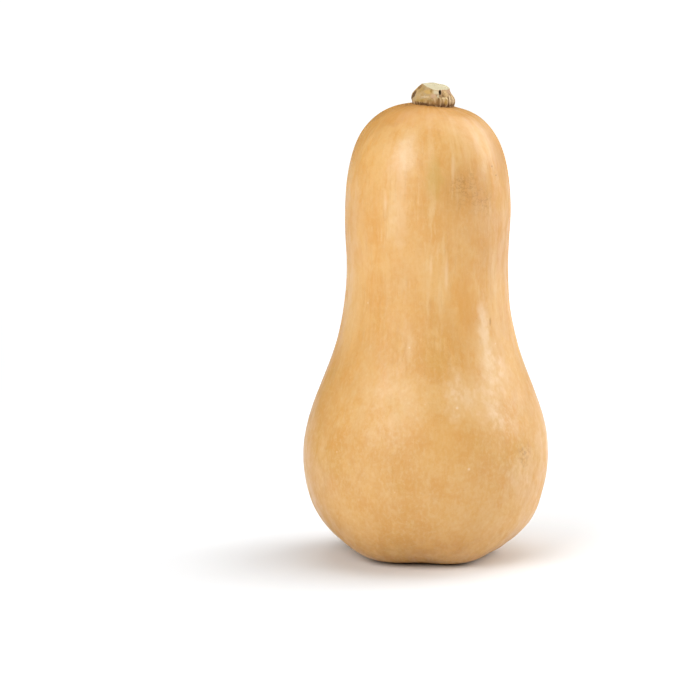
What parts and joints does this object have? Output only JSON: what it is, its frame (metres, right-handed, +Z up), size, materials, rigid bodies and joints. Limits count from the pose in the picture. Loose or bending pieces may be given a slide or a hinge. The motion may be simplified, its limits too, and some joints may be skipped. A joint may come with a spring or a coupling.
{
  "type": "butternut squash",
  "caption": "Whole butternut squash standing on its blossom end: swollen bulb, slim waist, long rounded neck and a short cut stem stub.",
  "frame": {"origin": "centre of the squash's outline, on the surface that it stands on", "axes": "+Z up along the squash's length, from the blossom end to the stem; -Y is the side that shows the pit in the stem; +X is to the right of that side"},
  "size_m": [0.1224, 0.1224, 0.2362],
  "materials": {
    "squash_skin": "smooth tan rind with fine streaks along its length and a patchy waxy sheen",
    "dry_stalk": "dry, fibrous, matt, paler where the knife cut it"
  },
  "bodies": {
    "root": {"squash_body": "squash_skin", "stem": "dry_stalk"}
  },
  "joints": []
}
